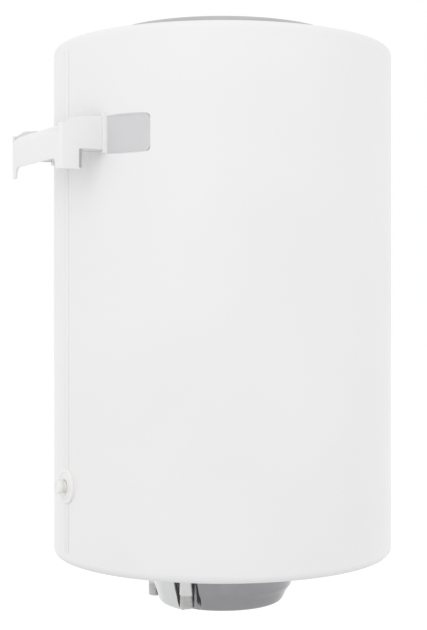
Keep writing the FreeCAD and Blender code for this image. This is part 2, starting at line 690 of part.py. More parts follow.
def make_thermostat():
    housing = new_body("thermostat", 0, THERMOSTAT_Y, THERMOSTAT_Z)
    plan = sketch_on(housing, "XY_Plane", "thermostat_plan")
    half_width = "thermostat_width / 2"
    half_depth = "thermostat_depth / 2"
    outline(plan, [
        (f"0 - {half_width}", f"0 - {half_depth}"),
        (half_width, f"0 - {half_depth}"),
        (half_width, half_depth),
        (f"0 - {half_width}", half_depth),
    ])
    pad(housing, plan, "thermostat_block", "thermostat_height")
    corners = [(sx * value(half_width), sy * value(half_depth)) for sx in (-1, 1) for sy in (-1, 1)]
    round_edges(housing, "thermostat_corners", "thermostat_corner",
                lambda shape: straight_edges(shape, "z", corners))
    bores = sketch_on(housing, "XY_Plane", "thermostat_bores")
    circle(bores, "shaft_radius + running_clearance")
    circle(bores, "reset_radius + running_clearance", "reset_side", 0)
    pocket(housing, bores, "thermostat_bore_cut", False, "thermostat_bore", reversed_way=True)
    node(housing, "thermostat_body")

    top = f"{THERMOSTAT_Z} + thermostat_height"
    probe = cylinder("probe_rod", "sensor_radius", "thermostat_drop + well_height - 8",
                     0, THERMOSTAT_Y, top)
    node(probe, "thermostat_probe")
    button = cylinder("button", "reset_radius", "thermostat_bore + reset_stand - reset_travel - 1",
                      "reset_side", THERMOSTAT_Y, f"{THERMOSTAT_Z} - reset_stand")
    node(button, "reset_button")

    knob_z = f"({DIAL_Z} - knob_gap - knob_height)"
    shaft_z = f"({knob_z} + 4)"
    shaft = cylinder("shaft", "shaft_radius", f"{THERMOSTAT_Z} + thermostat_bore - 2 - {shaft_z}",
                     0, THERMOSTAT_Y, shaft_z)
    node(shaft, "thermostat_shaft")
    disc = doc.addObject("Part::Cone", "knob_disc")
    bind(disc, "Radius1", "knob_radius - 1")
    bind(disc, "Radius2", "knob_radius")
    bind(disc, "Height", "knob_height / 2")
    place(disc, 0, THERMOSTAT_Y, f"{knob_z} + knob_height / 2")
    bar = box("knob_bar", "2 * knob_radius", "knob_grip_width", "knob_height / 2",
              0, f"{THERMOSTAT_Y} - knob_grip_width / 2", knob_z)
    limit = cylinder("knob_limit", "knob_radius - 1", "knob_height", 0, THERMOSTAT_Y, knob_z)
    grip = overlap("knob_grip", bar, limit)
    pointer = box("knob_pointer", "knob_radius / 2", 1.6, 1, "knob_radius * 3 / 4",
                  f"{THERMOSTAT_Y} - 0.8", knob_z)
    shaft_bore = cylinder("knob_bore", "shaft_radius", "knob_height", 0, THERMOSTAT_Y, shaft_z)
    node(cut("knob", join("knob_blank", disc, grip), shaft_bore, pointer), "control_knob")


def make_wiring():
    """Terminal block, earth stud and leads under the flange plate."""
    block_y = f"{AXIS_Y} + block_back - block_depth / 2"
    block_z = f"{FLANGE_Z} - block_height"
    screw_y = f"{block_y} + block_depth / 4"
    pitch = "block_width * 3 / 10"
    blank = box("block_blank", "block_width", "block_depth", "block_height", 0, block_y, block_z)
    seats = []
    screws = []
    for number, step in enumerate((-1, 0, 1)):
        x = f"{step} * {pitch}"
        seats.append(cylinder(f"block_seat_{number}", "small_screw_radius + 0.1", 6, x, screw_y, block_z))
        head = cylinder(f"block_screw_head_{number}", "small_screw_radius", 4, x, screw_y, f"{block_z} + 2")
        slot = box(f"block_screw_slot_{number}", "2 * small_screw_radius", 0.8, 1,
                   x, f"{screw_y} - 0.4", f"{block_z} + 2")
        screws.append(cut(f"block_screw_{number}", head, slot))
    node(cut("block", blank, *seats), "terminal_block")
    node(group("block_screws", screws), "terminal_screws")

    post = cylinder("earth_post", "small_screw_radius", 12, "earth_side", AXIS_Y, f"{FLANGE_Z} - 12")
    node(post, "earth_stud")
    earth_nut = nut("earth_nut_solid", 4.6, 4, "small_screw_radius",
                    "earth_side", AXIS_Y, f"{FLANGE_Z} - 4")
    node(earth_nut, "earth_nut")

    wiring = doc.addObject("Part::Feature", "leads")
    wiring.Shape = Part.makeCompound([lead(points, value("lead_radius")) for points in lead_routes(pitch)])
    node(wiring, "internal_leads")


def lead_routes(pitch):
    """Corner points of the four leads, each square to the faces where it starts and ends."""
    axis_y = value(AXIS_Y)
    flange_z = value(FLANGE_Z)
    step = value(pitch)
    block_y = value(f"{AXIS_Y} + block_back + block_depth / 5")
    block_z = value(f"{FLANGE_Z} - block_height")
    element_x = value("element_spacing / 2")
    element_y = value(f"{AXIS_Y} + element_back")
    tab_z = flange_z - 27
    back_y = value(f"{THERMOSTAT_Y} + thermostat_depth / 2")
    earth_x = value("earth_side")
    block_to_thermostat = [
        (-step, block_y, block_z),
        (-step, block_y, block_z - 16),
        (-step, block_y - 18, block_z - 21),
        (-step, back_y + 12, block_z - 13),
        (-step, back_y, block_z - 13),
    ]
    block_to_element = [
        (0, block_y, block_z),
        (0, block_y, block_z - 18),
        (element_x / 2, element_y + 12, block_z - 24),
        (element_x, element_y, block_z - 22),
        (element_x, element_y, tab_z),
    ]
    element_to_thermostat = [
        (-element_x, element_y, tab_z),
        (-element_x, element_y, tab_z - 10),
        (4 - element_x, back_y + 9, tab_z - 9),
        (4 - element_x, back_y, tab_z - 9),
    ]
    block_to_earth = [
        (step, block_y, block_z),
        (step, block_y, block_z - 14),
        (earth_x - 8, axis_y + 20, block_z - 20),
        (earth_x, axis_y, block_z - 12),
        (earth_x, axis_y, flange_z - 12),
    ]
    return [block_to_thermostat, block_to_element, element_to_thermostat, block_to_earth]


def lead(points, radius):
    """A round lead along straight runs joined by tangent arcs."""
    corners = [FreeCAD.Vector(*point) for point in points]
    edges = []
    start = corners[0]
    for before, corner, after in zip(corners, corners[1:], corners[2:]):
        come = (before - corner)
        leave = (after - corner)
        trim = 0.45 * min(come.Length, leave.Length)
        enter = corner + come.normalize() * trim
        exit_point = corner + leave.normalize() * trim
        middle = corner + (come + leave).normalize() * arc_depth(come, leave, trim)
        edges.append(Part.LineSegment(start, enter).toShape())
        edges.append(Part.Arc(enter, middle, exit_point).toShape())
        start = exit_point
    edges.append(Part.LineSegment(start, corners[-1]).toShape())
    direction = corners[1] - corners[0]
    ring = Part.Wire([Part.makeCircle(radius, corners[0], direction)])
    return Part.Wire(edges).makePipeShell([ring], True, False)


def arc_depth(come, leave, trim):
    """How far from the corner the middle of its arc lies; come and leave are unit vectors."""
    half = come.getAngle(leave) / 2
    radius = trim * math.tan(half)
    return radius / math.sin(half) - radius


def make_water_pipes():
    grommets = []
    rooms = []
    pipes = {}
    for word, side in (("cold", 1), ("hot", -1)):
        x = f"{side} * pipe_spacing / 2"
        outside = cylinder(f"{word}_outside", "pipe_radius", "pipe_drop + pipe_inside - thread_length",
                           x, PIPE_Y, f"{BASE_Z} - pipe_drop + thread_length")
        thread = cylinder(f"{word}_thread", "thread_radius", "thread_length",
                          x, PIPE_Y, f"{BASE_Z} - pipe_drop")
        bore = cylinder(f"{word}_bore", "pipe_bore", "pipe_drop + pipe_inside",
                        x, PIPE_Y, f"{BASE_Z} - pipe_drop")
        pipes[word] = cut(f"{word}_pipe", join(f"{word}_blank", outside, thread), bore)
        sleeve = cylinder(f"{word}_sleeve", "pipe_radius + grommet_wall", "sheet_thickness + grommet_wall",
                          x, PIPE_Y, BASE_Z)
        lip = cylinder(f"{word}_lip", "pipe_radius + grommet_wall + grommet_lip", "grommet_wall",
                       x, PIPE_Y, f"{BASE_Z} + sheet_thickness")
        ring = join(f"{word}_ring", sleeve, lip)
        grommets.append(cut(f"{word}_grommet", ring, outside))
        rooms.append(join(f"{word}_pipe_room", outside, ring))
    node(pipes["cold"], "cold_inlet_pipe")
    node(pipes["hot"], "hot_outlet_pipe")
    node(group("grommets", grommets), "pipe_grommets")

    cold_x = "pipe_spacing / 2"
    cap_z = f"{BASE_Z} + pipe_inside - 12"
    shell = cylinder("deflector_blank", "pipe_radius + 2", 28, cold_x, PIPE_Y, cap_z)
    room = cylinder("deflector_room", "pipe_radius", 26, cold_x, PIPE_Y, cap_z)
    window = box("deflector_window", "4 * pipe_radius", "pipe_radius", 8, cold_x,
                 f"{PIPE_Y} - pipe_radius / 2", f"{cap_z} + 15")
    node(cut("deflector", shell, room, window), "cold_water_deflector")

    hot_x = "0 - pipe_spacing / 2"
    riser_z = f"{BASE_Z} + pipe_inside - 30"
    riser_length = "casing_height - top_foam - riser_gap - pipe_inside + 30"
    tube = cylinder("riser_outside", "pipe_bore", riser_length, hot_x, PIPE_Y, riser_z)
    tube_bore = cylinder("riser_inside", "pipe_bore - riser_wall", riser_length, hot_x, PIPE_Y, riser_z)
    node(cut("riser", tube, tube_bore), "hot_water_riser")
    return rooms


def make_bracket():
    """The pressed wall bracket, its plates on the tank, and the dams round its arms.

    Only the left arm has a heel below it; the right arm's lower edge runs straight to the wall plate.
    """
    low = "(plate_height / 2 + leg_drop)"
    half = "bracket_width / 2"
    inner_half = "(bracket_width / 2 - bracket_sheet)"
    deep = f"{AXIS_Y} + sqrt({TANK_RADIUS}^2 - (bracket_width / 2)^2) - 10"
    body = new_body("bracket", 0, 0, f"0 - {low}")
    plan = sketch_on(body, "XY_Plane", "bracket_plan")
    outline(plan, [
        (f"0 - {half}", deep), (f"0 - {half}", 0), (half, 0), (half, deep),
        (inner_half, deep), (inner_half, "0 - bracket_sheet"),
        (f"0 - {inner_half}", "0 - bracket_sheet"), (f"0 - {inner_half}", deep),
    ])
    pad(body, plan, "bracket_blank", f"arm_rise + {low}")
    outer = [(side * value(half), 0) for side in (-1, 1)]
    inner = [(side * value(inner_half), -value("bracket_sheet")) for side in (-1, 1)]
    round_edges(body, "bracket_inner_folds", "bracket_corner - bracket_sheet",
                lambda shape: straight_edges(shape, "z", inner))
    round_edges(body, "bracket_outer_folds", "bracket_corner",
                lambda shape: straight_edges(shape, "z", outer))

    profile = sketch_on(body, "YZ_Plane", "arm_profile")
    outline(profile, [
        (f"{deep} - 5", -5), ("0 - heel_reach", -5),
        ("0 - heel_reach", f"{low} - arm_drop"), (f"{deep} - 5", f"{low} - arm_drop"),
    ])
    outline(profile, [
        ("0 - wall_gap - 12", f"{low} + arm_rise"), ("0 - arm_knee_depth", f"{low} + arm_knee_rise"),
        ("0 - bracket_sheet * 2", f"{low} + plate_height / 2"), (5, f"{low} + plate_height / 2"),
        (5, f"{low} + arm_rise + 5"), ("0 - wall_gap - 12", f"{low} + arm_rise + 5"),
    ])
    pocket(body, profile, "arm_trim", midplane=True)
    window_half = "(bracket_width / 2 - leg_width)"
    window = sketch_on(body, "XZ_Plane", "leg_window")
    outline(window, [
        (f"0 - {window_half}", -5), (window_half, -5),
        (window_half, "leg_drop"), (f"0 - {window_half}", "leg_drop"),
    ])
    pocket(body, window, "leg_trim", midplane=True)
    round_at = [(side * value(window_half), value("leg_drop")) for side in (-1, 1)]
    round_edges(body, "leg_rounds", "leg_round", lambda shape: straight_edges(shape, "y", round_at))

    fold_half = "(bracket_width / 2 - bracket_corner - fold_relief)"
    fold_z = "plate_height / 2 - plate_fold_radius"
    top_gap = box("fold_gap", f"2 * {fold_half}", "bracket_sheet + 2", "plate_fold_radius + 1",
                  0, "0 - bracket_sheet - 1", fold_z)
    bend = quarter_tube("fold_bend", "plate_fold_radius", f"2 * {fold_half}")
    bend_bore = quarter_tube("fold_bore", "plate_fold_radius - bracket_sheet", f"2 * {fold_half}")
    for item in (bend, bend_bore):
        place(item, f"0 - {fold_half}", "0 - plate_fold_radius", fold_z)
    ledge = box("fold_ledge", f"2 * {fold_half}", "plate_fold - plate_fold_radius", "bracket_sheet",
                0, "0 - plate_fold", "plate_height / 2 - bracket_sheet")
    fold = cut("fold", bend, bend_bore)
    heel = box("right_heel", "2 * bracket_sheet", "heel_reach", f"{low} - arm_drop",
               ARM_X, "0 - heel_reach - bracket_corner", f"0 - {low}")
    folded = join("bracket_folded", cut("bracket_open", body, top_gap, heel), fold, ledge)
    face = cylinder("doubler_face", f"{TANK_RADIUS} + doubler_thickness", "casing_height")
    node(cut("bracket_trimmed", folded, face), "wall_bracket")

    tube = cut("doubler_tube", face, cylinder("doubler_back", TANK_RADIUS, "casing_height"))
    height = "arm_rise + arm_drop + 2 * doubler_margin"
    plates = []
    dams = []
    rooms = []
    for word, side in (("left", -1), ("right", 1)):
        x = f"{side} * {ARM_X}"
        window_box = box(f"doubler_window_{word}", "doubler_width", TANK_RADIUS, height,
                         x, AXIS_Y, "0 - arm_drop - doubler_margin")
        plates.append(overlap(f"doubler_{word}", tube, window_box))
        dam = box(f"dam_blank_{word}", 12, 12, "arm_rise + arm_drop + 8", x,
                  f"{AXIS_Y} + sqrt({TANK_RADIUS}^2 - (bracket_width / 2)^2) + 20", "0 - arm_drop - 4")
        arm = box(f"arm_room_{word}", "bracket_sheet", "casing_radius", "arm_rise + arm_drop",
                  x, AXIS_Y, "0 - arm_drop")
        dams.append(cut(f"dam_{word}", dam, arm))
        rooms += [arm, dam]
    node(group("doublers", plates), "bracket_doublers")
    node(group("dams", dams), "arm_foam_dams")
    return plates + rooms


def quarter_tube(name, radius, length):
    """A quarter cylinder along x that fills the upper corner on its wall side."""
    item = doc.addObject("Part::Cylinder", name)
    item.Angle = 90
    bind(item, "Radius", radius)
    bind(item, "Height", length)
    turn(item, (1, 1, 1), 120)
    return item


def make_standoff():
    """The screwed stand-off that keeps the lower end off the wall; returns its room in the foam."""
    sleeve_start = f"{AXIS_Y} + {TANK_RADIUS} + standoff_sleeve_end"
    sleeve_length = "side_foam - standoff_sleeve_end"
    sleeve = cylinder("sleeve", "standoff_sleeve", f"{sleeve_length} + standoff_flange_height",
                      0, sleeve_start, STANDOFF_Z, to_wall=True)
    flange = cylinder("socket_flange", "standoff_flange", "standoff_flange_height + 5",
                      0, f"{CASING_BACK} - 5", STANDOFF_Z, to_wall=True)
    jacket_form = cylinder("jacket_form", "casing_radius", "casing_height")
    bore = cylinder("socket_bore", "standoff_screw_radius + running_clearance", "casing_radius",
                    0, sleeve_start, STANDOFF_Z, to_wall=True)
    collar = cut("socket_collar", flange, jacket_form)
    node(cut("socket", join("socket_blank", sleeve, collar), bore), "standoff_socket")

    pad_start = f"({CASING_BACK} + standoff_reach - standoff_pad_height)"
    screw_start = f"({AXIS_Y} + {TANK_RADIUS} + standoff_sleeve_end + 2)"
    thread = cylinder("screw_thread", "standoff_screw_radius", f"{pad_start} - {screw_start}",
                      0, screw_start, STANDOFF_Z, to_wall=True)
    spigot = cylinder("screw_spigot", "standoff_screw_radius / 2", 4,
                      0, pad_start, STANDOFF_Z, to_wall=True)
    node(join("screw", thread, spigot), "standoff_screw")
    pad_blank = cylinder("pad_blank", "standoff_pad_radius", "standoff_pad_height",
                         0, pad_start, STANDOFF_Z, to_wall=True)
    node(cut("screw_pad", pad_blank, spigot), "standoff_pad")
    return cylinder("socket_room", "standoff_sleeve", "casing_radius", 0, f"{AXIS_Y} + {TANK_RADIUS}",
                    STANDOFF_Z, to_wall=True)


def cover_form(name, inset):
    """The bowl's filled form, drawn in by the inset."""
    grow = f"({inset})"
    base = f"cover_base_radius - {grow}"
    neck = (f"cover_neck_radius - {grow}", "cover_depth - cover_neck_depth")
    step = (f"cover_step_radius - {grow}", "cover_depth - cover_step_depth")
    return solid_turned(name, [
        (0, grow), (base, grow), neck, step,
        (f"cover_rim_radius - {grow}", "cover_depth"), (0, "cover_depth"),
    ], [(base, grow, f"cover_base_edge - {grow}")], z=COVER_Z)


def channel(name, side, growth):
    """The upright channel that a pipe's notch takes out of the bowl, open towards the wall."""
    radius = f"(notch_width / 2 + ({growth}))"
    x = f"{side} * pipe_spacing / 2"
    round_end = cylinder(name + "_end", radius, "cover_depth + 2", x, PIPE_Y, f"{COVER_Z} - 1")
    opening = box(name + "_way", f"2 * {radius}", "cover_rim_radius", "cover_depth + 2",
                  x, PIPE_Y, f"{COVER_Z} - 1")
    return join(name, round_end, opening)


def make_cover():
    outside = cover_form("cover_outside", "0")
    inside = cover_form("cover_inside", "cover_wall")
    narrow = [channel("notch_cold", 1, "0"), channel("notch_hot", -1, "0")]
    wide = [channel("notch_wall_cold", 1, "cover_wall"), channel("notch_wall_hot", -1, "cover_wall")]
    dial = cylinder("dial_dish", "dial_radius", "dial_depth", 0, THERMOSTAT_Y, COVER_Z)
    dial_wall = cylinder("dial_wall", "dial_radius + cover_wall", "dial_depth + cover_wall",
                         0, THERMOSTAT_Y, COVER_Z)
    hollow = cut("cover_hollow", inside, *wide, dial_wall)
    below = f"{COVER_Z} - 1"
    head_z = f"{COVER_Z} - screw_head_height"
    holes = [
        cylinder("cover_shaft_hole", "shaft_radius + 1", "cover_depth", 0, THERMOSTAT_Y, below),
        cylinder("cover_lamp_hole", "lamp_radius", 10, "lamp_side", f"{AXIS_Y} + lamp_back", below),
        cylinder("cover_gland_hole", "gland_radius", 10, 0, f"{AXIS_Y} + gland_back", below),
    ]
    pillars = []
    screws = []
    for word, side in (("left", -1), ("right", 1)):
        x = f"{side} * pillar_side"
        y = f"{AXIS_Y} - pillar_front"
        holes.append(cylinder(f"cover_screw_hole_{word}", "cover_screw_radius + 0.3", 10, x, y, below))
        shank = cylinder(f"cover_shank_{word}", "cover_screw_radius", "cover_wall + 12", x, y, COVER_Z)
        post = cylinder(f"pillar_post_{word}", "pillar_radius", "cover_depth - cover_wall + flange_level",
                        x, y, f"{COVER_Z} + cover_wall")
        pillars.append(cut(f"pillar_{word}", post, shank))
        head = cylinder(f"cover_head_{word}", "screw_head_radius", "screw_head_height", x, y, head_z)
        slot = box(f"cover_slot_{word}", "2 * screw_head_radius", 1, 1.2, x, f"{y} - 0.5", head_z)
        screw = join(f"cover_screw_blank_{word}", head, shank)
        screws.append(cut(f"cover_screw_{word}", screw, slot))
    node(cut("cover", outside, *narrow, hollow, dial, *holes), "bottom_cover")
    node(group("pillars", pillars), "cover_pillars")
    node(group("cover_fixings", screws), "cover_screws")


def make_indicator():
    y = f"{AXIS_Y} + lamp_back"
    lens = turned("lens", [
        (0, 0), ("lamp_radius + 1.5", 0), ("lamp_radius + 1.5", 1.5), ("lamp_radius", 1.5),
        ("lamp_radius", 12), ("lamp_radius - 1", 12), ("lamp_radius - 1", 1.5), (0, 1.5),
    ], "lamp_side", y, f"{COVER_Z} - 1.5")
    node(lens, "indicator_lens")
    bulb = cylinder("bulb", "lamp_radius - 2", 12, "lamp_side", y, f"{COVER_Z} + 2")
    node(bulb, "indicator_bulb")
    holder = cylinder("holder_blank", "lamp_radius", 8, "lamp_side", y, f"{COVER_Z} + 10.5")
    node(cut("holder", holder, bulb), "indicator_holder")


def make_gland():
    y = f"{AXIS_Y} + gland_back"
    seal_radius = "(gland_radius - 2)"
    collar_z = f"({COVER_Z} - gland_collar)"
    collar = hexagon("gland_hexagon", "gland_corner_radius", "gland_collar", 0, y, collar_z)
    neck = cylinder("gland_neck", "gland_radius", "cover_wall + 10", 0, y, COVER_Z)
    room = cylinder("gland_seal_room", seal_radius, "gland_collar + cover_wall + 10", 0, y, collar_z)
    node(cut("gland", join("gland_blank", collar, neck), room), "cable_gland")
    bore = cylinder("gland_way", "gland_bore", "cover_wall + 30", 0, y, f"{COVER_Z} - 15")
    seal = cylinder("gland_seal_blank", seal_radius, 10, 0, y, collar_z)
    node(cut("gland_seal_ring", seal, bore), "gland_seal")
    cap = solid_turned("gland_cap_blank", [
        (0, 0), ("gland_radius + 1", 0), ("gland_radius + 2", "gland_cap_height"), (0, "gland_cap_height"),
    ], [("gland_radius + 1", 0, 2)], y=y, z=f"{collar_z} - gland_cap_height")
    node(cut("gland_cap_ring", cap, bore), "gland_cap")
    lock = nut("gland_nut_solid", "gland_corner_radius", 4, "gland_radius", 0, y, f"{COVER_Z} + cover_wall")
    node(lock, "gland_nut")


def make_foam(tank_form, rooms):
    """Foam that fills the space between the tank and the casing."""
    radius = "casing_radius - sheet_thickness"
    height = "casing_height - 2 * sheet_thickness"
    filling = solid_turned("foam_filling", [(0, 0), (radius, 0), (radius, height), (0, height)], [
        (radius, 0, "bottom_shoulder - sheet_thickness"),
        (radius, height, "top_shoulder - sheet_thickness"),
    ], z=f"{BASE_Z} + sheet_thickness")
    well = cylinder("foam_well", "lid_opening", "tank_base", z=BASE_Z)
    node(cut("foam", filling, tank_form, well, *rooms), "insulation_foam")


def finish():
    """Check every object and write each piece to its own file."""
    doc.recompute()
    for item in doc.Objects:
        if "Invalid" in item.State or "Error" in item.State:
            raise RuntimeError(f"{item.Name} failed: {item.State}")
    for item in nodes:
        if item.Shape.isNull() or not item.Shape.isValid() or item.Shape.Volume <= 0:
            raise RuntimeError(f"{item.Label} has no good shape")
    os.makedirs("parts", exist_ok=True)
    for item in nodes:
        item.Shape.exportStep(f"parts/{item.Label}.step")
        solids = len(item.Shape.Solids)
        print(f"{item.Label}: {solids} solids, {item.Shape.Volume / 1000:.2f} cm3")


rooms = make_casing()
rooms += make_top()
tank_form = make_tank()
make_flange(tank_form)
make_heating()
make_thermostat()
make_wiring()
rooms += make_water_pipes()
rooms += make_bracket()
rooms.append(make_standoff())
make_cover()
make_indicator()
make_gland()
make_foam(tank_form, rooms)
finish()
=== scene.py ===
import json
import math

import bpy
from mathutils import Matrix, Vector


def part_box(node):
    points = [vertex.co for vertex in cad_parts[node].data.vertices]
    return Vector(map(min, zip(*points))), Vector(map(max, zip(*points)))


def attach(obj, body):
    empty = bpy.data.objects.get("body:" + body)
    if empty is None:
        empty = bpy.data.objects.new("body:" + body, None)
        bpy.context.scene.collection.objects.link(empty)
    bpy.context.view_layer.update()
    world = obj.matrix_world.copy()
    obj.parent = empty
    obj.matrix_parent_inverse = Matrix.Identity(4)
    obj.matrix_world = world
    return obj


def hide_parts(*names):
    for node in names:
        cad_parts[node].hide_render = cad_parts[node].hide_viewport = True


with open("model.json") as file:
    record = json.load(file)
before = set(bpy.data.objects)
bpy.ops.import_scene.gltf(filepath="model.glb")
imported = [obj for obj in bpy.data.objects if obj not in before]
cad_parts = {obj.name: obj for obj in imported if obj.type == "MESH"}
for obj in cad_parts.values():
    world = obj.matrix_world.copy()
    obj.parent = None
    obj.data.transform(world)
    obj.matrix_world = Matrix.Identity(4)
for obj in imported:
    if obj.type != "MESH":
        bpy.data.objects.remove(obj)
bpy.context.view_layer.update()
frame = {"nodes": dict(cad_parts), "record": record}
MM = 0.001

# ---------------------------------------------------------------- places taken from the frame

JACKET_LOW, JACKET_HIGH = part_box("casing_shell")
RADIUS = (JACKET_HIGH.x - JACKET_LOW.x) / 2
AXIS = Vector((0, JACKET_LOW.y + RADIUS, 0))
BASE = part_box("bottom_lid")[0].z
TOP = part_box("top_lid")[1].z
MIDDLE = AXIS + Vector((0, 0, (BASE + TOP) / 2))
BACK = AXIS.y + RADIUS
ARM_LOW, ARM_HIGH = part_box("wall_bracket")
COVER_LOW, COVER_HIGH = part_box("bottom_cover")

# The bracket is pressed from 3 mm sheet, and each arm leaves the jacket beside a recess.
SHEET = 3 * MM
ARM_HALF_SPAN = ARM_HIGH.x - SHEET / 2
ARM_UNDERSIDE = -11 * MM
ARM_MIDDLE = 11.75 * MM
HEEL_REACH = -28 * MM
RECESS_FLOOR = RADIUS - 7 * MM
RECESS_RISE = 9 * MM
RECESS_HALF_WIDTH = 34.5 * MM
RECESS_SLOPE = 30

# The bowl's step: the depth of each ring below the casing, and its radius.
STEP_RINGS = ((46 * MM, 100.5 * MM), (53 * MM, 94.5 * MM))

WELD = 0.001 * MM


# ---------------------------------------------------------------- camera and studio

CAMERA_HEADING = 241
CAMERA_LENS = 76.4
CAMERA_SHIFT = (-0.0143, -0.0206)

def make_camera():
    """A long lens level with the middle of the jacket, behind the heater and to its left."""
    distance = 8 * RADIUS
    heading = math.radians(CAMERA_HEADING)
    toward = Vector((math.sin(heading), -math.cos(heading), 0))
    data = bpy.data.cameras.new("camera")
    data.lens = CAMERA_LENS
    data.shift_x, data.shift_y = CAMERA_SHIFT
    data.clip_end = 60
    camera = bpy.data.objects.new("camera", data)
    camera.location = MIDDLE + toward * distance
    camera.rotation_mode = "QUATERNION"
    camera.rotation_quaternion = (-toward).to_track_quat("-Z", "Y")
    bpy.context.scene.collection.objects.link(camera)
    bpy.context.scene.camera = camera
    return toward


def area_light(name, place, aim, size, power):
    data = bpy.data.lights.new(name, "AREA")
    data.shape = "RECTANGLE"
    data.size, data.size_y = size
    data.energy = power
    light = bpy.data.objects.new(name, data)
    light.location = place
    light.rotation_mode = "QUATERNION"
    light.rotation_quaternion = (Vector(aim) - Vector(place)).to_track_quat("-Z", "Y")
    bpy.context.scene.collection.objects.link(light)


def linear(text):
    """An sRGB hex colour as linear red, green, blue and alpha."""
    parts = [int(text[i:i + 2], 16) / 255 for i in (1, 3, 5)]
    return [p / 12.92 if p <= 0.04045 else ((p + 0.055) / 1.055) ** 2.4 for p in parts] + [1.0]


def add_node(tree, kind, inputs=None, **settings):
    """Add a node, set its properties, and set or link each named input."""
    node = tree.nodes.new(kind)
    for key, setting in settings.items():
        setattr(node, key, setting)
    for key, given in (inputs or {}).items():
        socket = node.inputs[key]
        if isinstance(given, bpy.types.NodeSocket):
            tree.links.new(given, socket)
        else:
            socket.default_value = given
    return node


def new_material(name):
    material = bpy.data.materials.new(name)
    material.use_nodes = True
    tree = material.node_tree
    tree.nodes.clear()
    place = add_node(tree, "ShaderNodeTexCoord").outputs["Object"]
    return material, tree, place


def close_material(tree, shader):
    add_node(tree, "ShaderNodeOutputMaterial", {"Surface": shader.outputs[0]})


def ramp_between(tree, factor, low, high, start=0.0, end=1.0):
    """A colour that runs from low to high as the factor runs from start to end."""
    ramp = add_node(tree, "ShaderNodeValToRGB", {"Fac": factor})
    ramp.color_ramp.elements[0].position = start
    ramp.color_ramp.elements[1].position = end
    ramp.color_ramp.elements[0].color = linear(low)
    ramp.color_ramp.elements[1].color = linear(high)
    return ramp.outputs["Color"]


def span(tree, factor, low, high):
    """A number that runs from low to high as the factor runs from 0 to 1."""
    mapped = add_node(tree, "ShaderNodeMapRange", {"Value": factor, "To Min": low, "To Max": high})
    return mapped.outputs["Result"]


def noise(tree, place, size, detail):
    """Noise whose features are about size metres across."""
    texture = add_node(tree, "ShaderNodeTexNoise", {"Vector": place, "Scale": 1 / size, "Detail": detail})
    return texture.outputs["Fac"]


def bumped(tree, height, strength, distance):
    """A normal lifted by a height, with its distance in metres."""
    bump = add_node(tree, "ShaderNodeBump", {"Height": height, "Strength": strength, "Distance": distance})
    return bump.outputs["Normal"]


def powder_coat():
    """Polyester powder coat on steel sheet, oven cured: satin, with a faint orange peel."""
    material, tree, place = new_material("powder_coated_steel")
    peel = noise(tree, place, 4.4 * MM, 2.0)
    broad = noise(tree, place, 160 * MM, 1.0)
    shader = add_node(tree, "ShaderNodeBsdfPrincipled", {
        "Base Color": ramp_between(tree, broad, "#e6e6e6", "#e8e8e8", 0.3, 0.7),
        "Roughness": span(tree, peel, 0.32, 0.42),
        "IOR": 1.5,
        "Normal": bumped(tree, peel, 0.05, 0.05 * MM),
    })
    close_material(tree, shader)
    return material


def moulded(name, low, high, rough, grain, bump_depth, ior=1.5, coat=0.0):
    """An injection-moulded plastic: an even colour, and the mould's fine spark-eroded grain."""
    material, tree, place = new_material(name)
    fine = noise(tree, place, grain * MM, 3.0)
    broad = noise(tree, place, 60 * MM, 2.0)
    shader = add_node(tree, "ShaderNodeBsdfPrincipled", {
        "Base Color": ramp_between(tree, broad, low, high, 0.35, 0.65),
        "Roughness": span(tree, fine, rough - 0.06, rough + 0.06),
        "IOR": ior,
        "Coat Weight": coat,
        "Coat Roughness": 0.08,
        "Normal": bumped(tree, fine, 0.25, bump_depth * MM),
    })
    close_material(tree, shader)
    return material


def metal(name, low, high, rough, grain, stretch, metallic=1.0, bump_depth=0.02):
    """A metal whose drawn or rolled surface leaves fine marks along its length."""
    material, tree, place = new_material(name)
    turned = add_node(tree, "ShaderNodeMapping", {"Vector": place, "Scale": stretch})
    marks = noise(tree, turned.outputs["Vector"], grain * MM, 4.0)
    cloud = noise(tree, place, 25 * MM, 3.0)
    shader = add_node(tree, "ShaderNodeBsdfPrincipled", {
        "Base Color": ramp_between(tree, cloud, low, high, 0.3, 0.7),
        "Metallic": metallic,
        "Roughness": span(tree, marks, rough - 0.08, rough + 0.08),
        "Normal": bumped(tree, marks, 0.3, bump_depth * MM),
    })
    close_material(tree, shader)
    return material


def clear_glass():
    """The signal lamp's blown glass: clear, with a faint ripple that bends what lies behind it."""
    material, tree, place = new_material("lamp_glass")
    ripple = noise(tree, place, 4 * MM, 2.0)
    shader = add_node(tree, "ShaderNodeBsdfPrincipled", {
        "Base Color": ramp_between(tree, ripple, "#f5efe8", "#fffaf4"),
        "Transmission Weight": 1.0,
        "Roughness": 0.03,
        "IOR": 1.5,
        "Normal": bumped(tree, ripple, 0.1, 0.05 * MM),
    })
    close_material(tree, shader)
    return material


def rigid_foam():
    """Polyurethane foam, poured in place: closed cells under a thin skin."""
    material, tree, place = new_material("polyurethane_foam")
    voronoi = add_node(tree, "ShaderNodeTexVoronoi", {"Vector": place, "Scale": 1 / (1.6 * MM)})
    cells = voronoi.outputs["Distance"]
    shader = add_node(tree, "ShaderNodeBsdfPrincipled", {
        "Base Color": ramp_between(tree, cells, "#d9c48f", "#efe2b8", 0.1, 0.7),
        "Roughness": 0.9,
        "Normal": bumped(tree, cells, 0.5, 0.4 * MM),
    })
    close_material(tree, shader)
    return material


